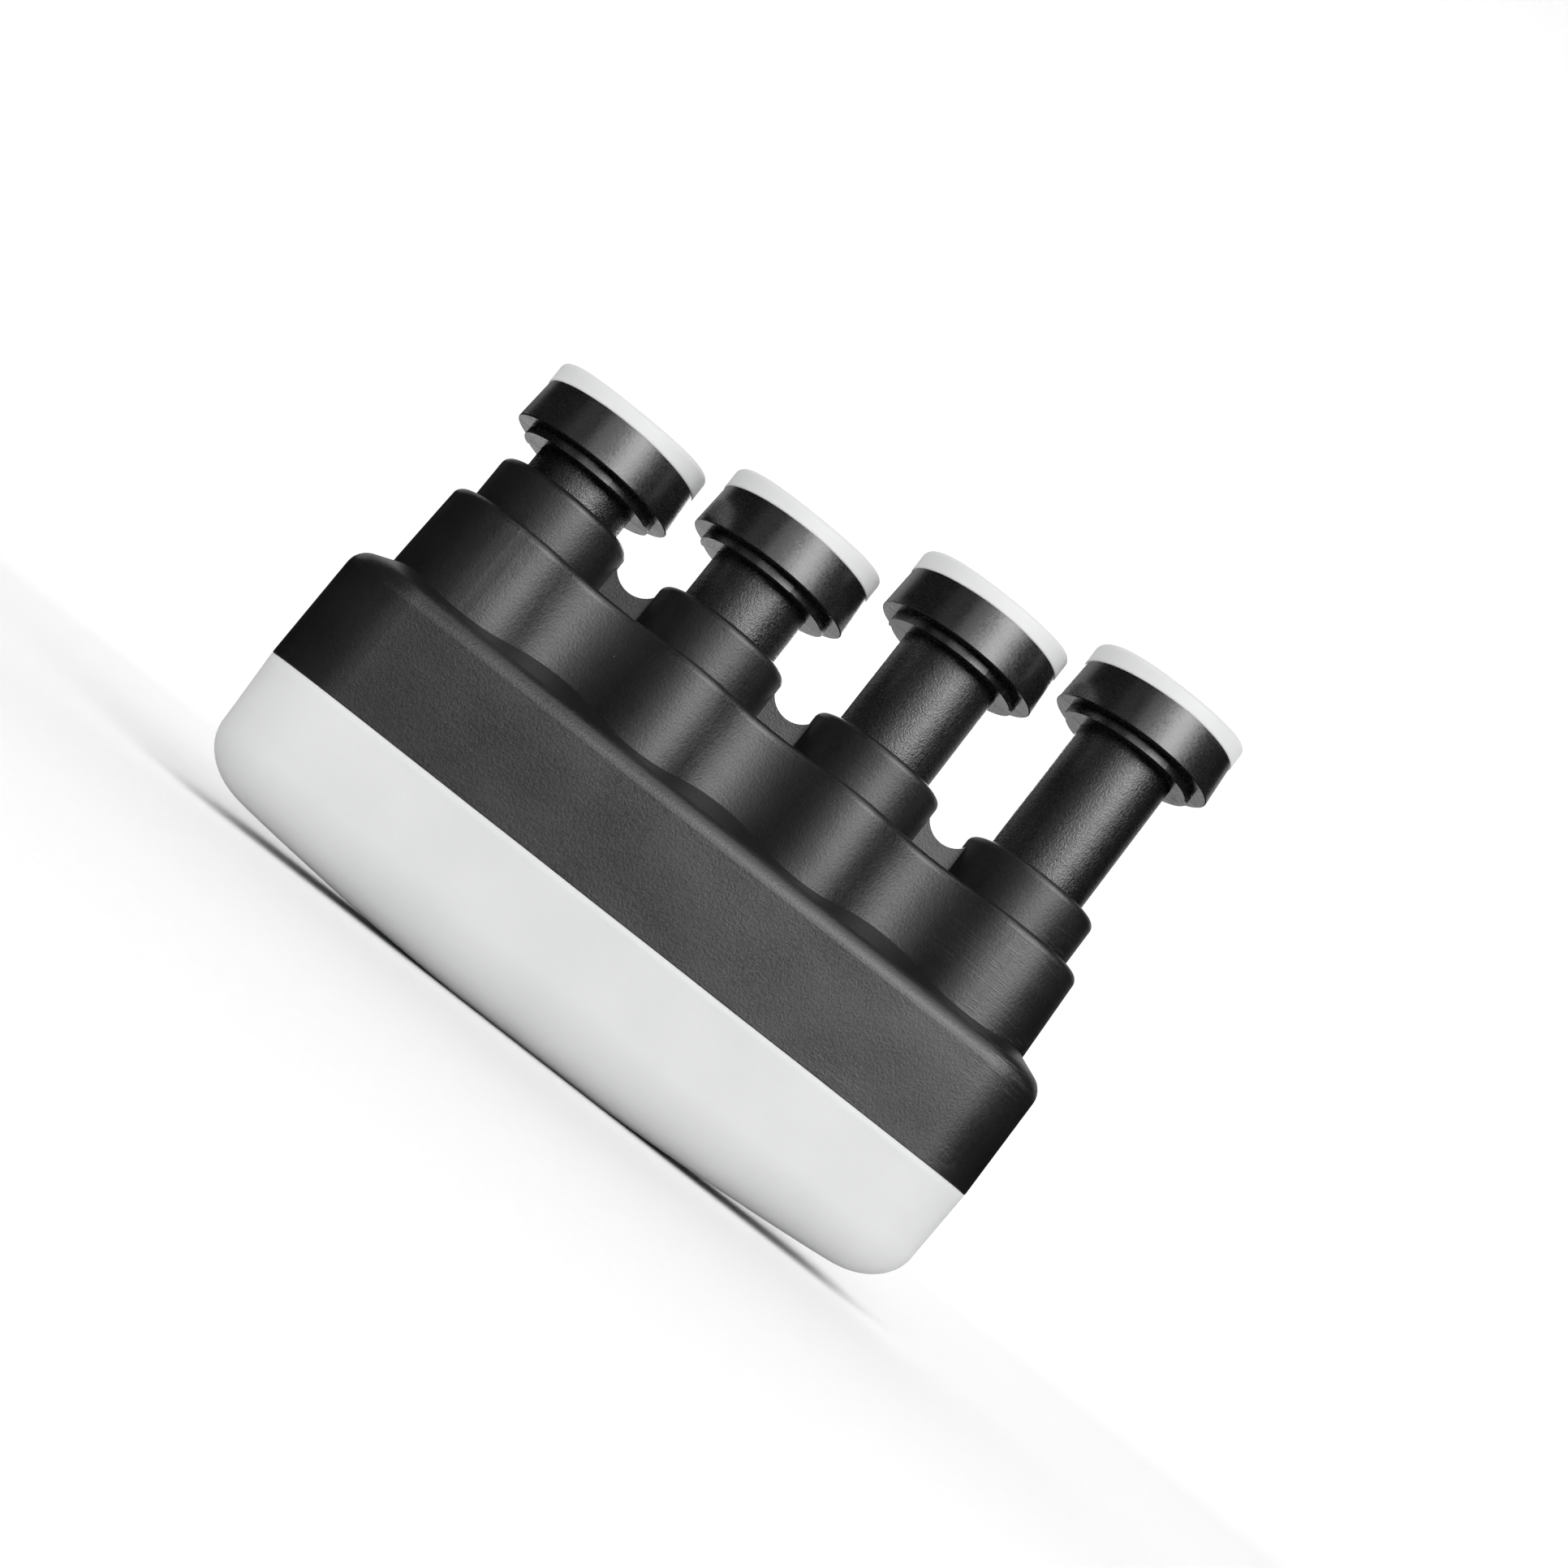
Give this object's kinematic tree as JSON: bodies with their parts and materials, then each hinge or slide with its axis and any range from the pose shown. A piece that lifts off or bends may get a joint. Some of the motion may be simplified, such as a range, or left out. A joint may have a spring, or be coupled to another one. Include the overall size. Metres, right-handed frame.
{
  "type": "finger exerciser",
  "caption": "Hand-held finger exerciser with a row of spring-loaded plungers, each with a capped soft pad, in a black housing on a rounded grey palm rest.",
  "frame": {"origin": "middle of the small flat on the palm rest's underside", "axes": "+X along the row of keys, from the deepest-pressed key to the one that stands out most; +Z out of the housing along the keys' travel; -Y is the front"},
  "size_m": [0.087, 0.025, 0.0697],
  "materials": {
    "black_plastic": "satin black moulded plastic with soft broad highlights and faint scuffs",
    "piston_plastic": "black plastic with a coarse spark-eroded grain",
    "grey_silicone": "matte light grey-white silicone",
    "core_plastic": "plain black moulded plastic, not seen from outside",
    "spring_steel": "bright drawn spring wire",
    "screw_steel": "zinc-plated self-tapping screws"
  },
  "bodies": {
    "body": {"housing": "black_plastic", "palm_rest": "grey_silicone", "palm_core": "core_plastic", "base_plate": "core_plastic", "housing_screws": "screw_steel", "spring_1": "spring_steel", "spring_2": "spring_steel", "spring_3": "spring_steel", "spring_4": "spring_steel"},
    "key_1": {"piston_1": "piston_plastic", "key_cap_1": "black_plastic", "finger_pad_1": "grey_silicone"},
    "key_2": {"piston_2": "piston_plastic", "key_cap_2": "black_plastic", "finger_pad_2": "grey_silicone"},
    "key_3": {"piston_3": "piston_plastic", "key_cap_3": "black_plastic", "finger_pad_3": "grey_silicone"},
    "key_4": {"piston_4": "piston_plastic", "key_cap_4": "black_plastic", "finger_pad_4": "grey_silicone"}
  },
  "joints": [
    {"name": "key_slide_1", "type": "slide", "parent": "body", "child": "key_1", "axis": [0, 0, 1], "range_m": [-0.0025, 0.0135], "stiffness_N_per_m": 1480, "springref_m": 0.0165, "deforming": ["spring_1"]},
    {"name": "key_slide_2", "type": "slide", "parent": "body", "child": "key_2", "axis": [0, 0, 1], "range_m": [-0.0056, 0.0104], "stiffness_N_per_m": 1480, "springref_m": 0.0134, "deforming": ["spring_2"]},
    {"name": "key_slide_3", "type": "slide", "parent": "body", "child": "key_3", "axis": [0, 0, 1], "range_m": [-0.0115, 0.0045], "stiffness_N_per_m": 1480, "springref_m": 0.0075, "deforming": ["spring_3"]},
    {"name": "key_slide_4", "type": "slide", "parent": "body", "child": "key_4", "axis": [0, 0, 1], "range_m": [-0.0157, 0.0003], "stiffness_N_per_m": 1480, "springref_m": 0.0033, "deforming": ["spring_4"]}
  ]
}
